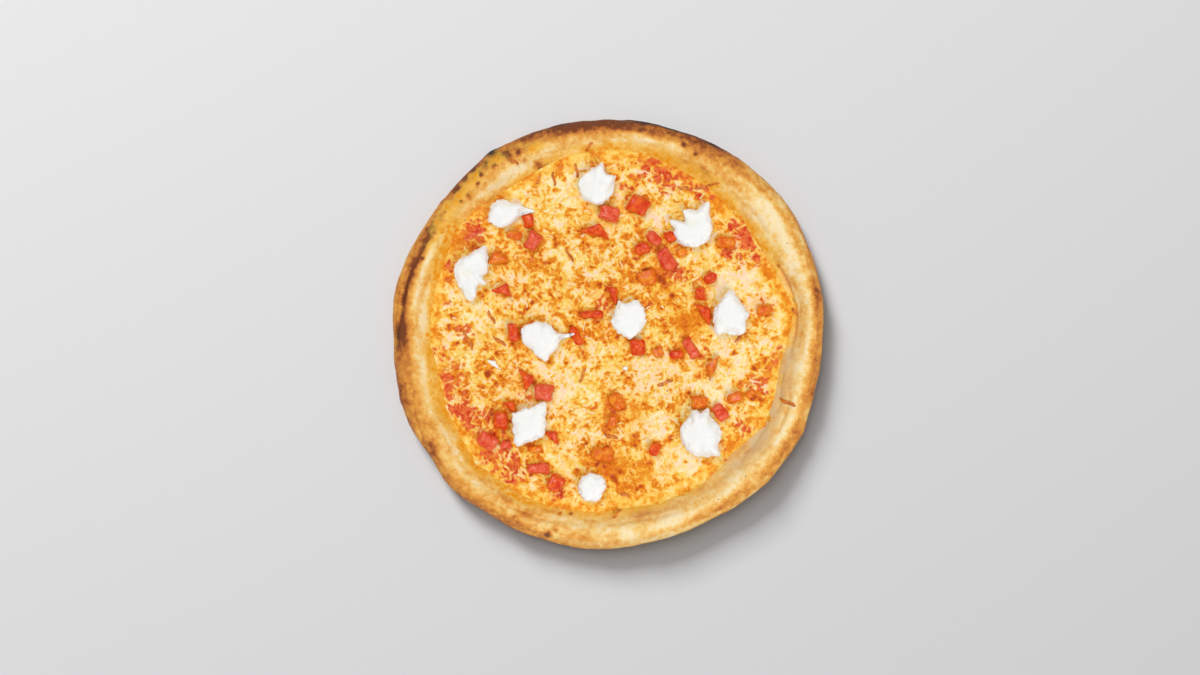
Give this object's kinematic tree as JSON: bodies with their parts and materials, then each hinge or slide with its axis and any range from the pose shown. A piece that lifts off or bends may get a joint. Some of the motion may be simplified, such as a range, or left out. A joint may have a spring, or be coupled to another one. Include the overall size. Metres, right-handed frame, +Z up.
{
  "type": "pizza",
  "caption": "Round thin-based cheese pizza with a puffy uneven rim, melted shredded cheese, diced tomato and torn fresh mozzarella",
  "frame": {"origin": "under the middle of the pizza, on the surface that it lies on", "axes": "+Z up; +Y is towards the top of the picture and +X towards its right"},
  "size_m": [0.3004, 0.2992, 0.0232],
  "materials": {
    "baked_dough": "dry, floury and toasted in patches",
    "tomato_sauce": "thin, oily and moist",
    "melted_cheese": "soft sheen with oil between melted shreds",
    "fresh_mozzarella": "moist, milky and slightly see-through",
    "tomato": "wet, with glossy skin on one side"
  },
  "bodies": {
    "root": {"cheese": "melted_cheese", "crust": "baked_dough", "mozzarella_01": "fresh_mozzarella", "mozzarella_02": "fresh_mozzarella", "mozzarella_03": "fresh_mozzarella", "mozzarella_04": "fresh_mozzarella", "mozzarella_05": "fresh_mozzarella", "mozzarella_06": "fresh_mozzarella", "mozzarella_07": "fresh_mozzarella", "mozzarella_08": "fresh_mozzarella", "mozzarella_09": "fresh_mozzarella", "mozzarella_10": "fresh_mozzarella", "mozzarella_11": "fresh_mozzarella", "sauce": "tomato_sauce", "tomato_01": "tomato", "tomato_02": "tomato", "tomato_03": "tomato", "tomato_04": "tomato", "tomato_05": "tomato", "tomato_06": "tomato", "tomato_07": "tomato", "tomato_08": "tomato", "tomato_09": "tomato", "tomato_10": "tomato", "tomato_11": "tomato", "tomato_12": "tomato", "tomato_13": "tomato", "tomato_14": "tomato", "tomato_15": "tomato", "tomato_16": "tomato", "tomato_17": "tomato", "tomato_18": "tomato", "tomato_19": "tomato", "tomato_20": "tomato", "tomato_21": "tomato", "tomato_22": "tomato", "tomato_23": "tomato", "tomato_24": "tomato", "tomato_25": "tomato", "tomato_26": "tomato", "tomato_27": "tomato", "tomato_28": "tomato", "tomato_29": "tomato", "tomato_30": "tomato", "tomato_31": "tomato", "tomato_32": "tomato", "tomato_33": "tomato", "tomato_34": "tomato", "tomato_35": "tomato", "tomato_36": "tomato", "tomato_37": "tomato", "tomato_38": "tomato", "tomato_39": "tomato", "tomato_40": "tomato", "tomato_41": "tomato", "tomato_42": "tomato", "tomato_43": "tomato", "tomato_44": "tomato", "tomato_45": "tomato", "tomato_46": "tomato"}
  },
  "joints": []
}
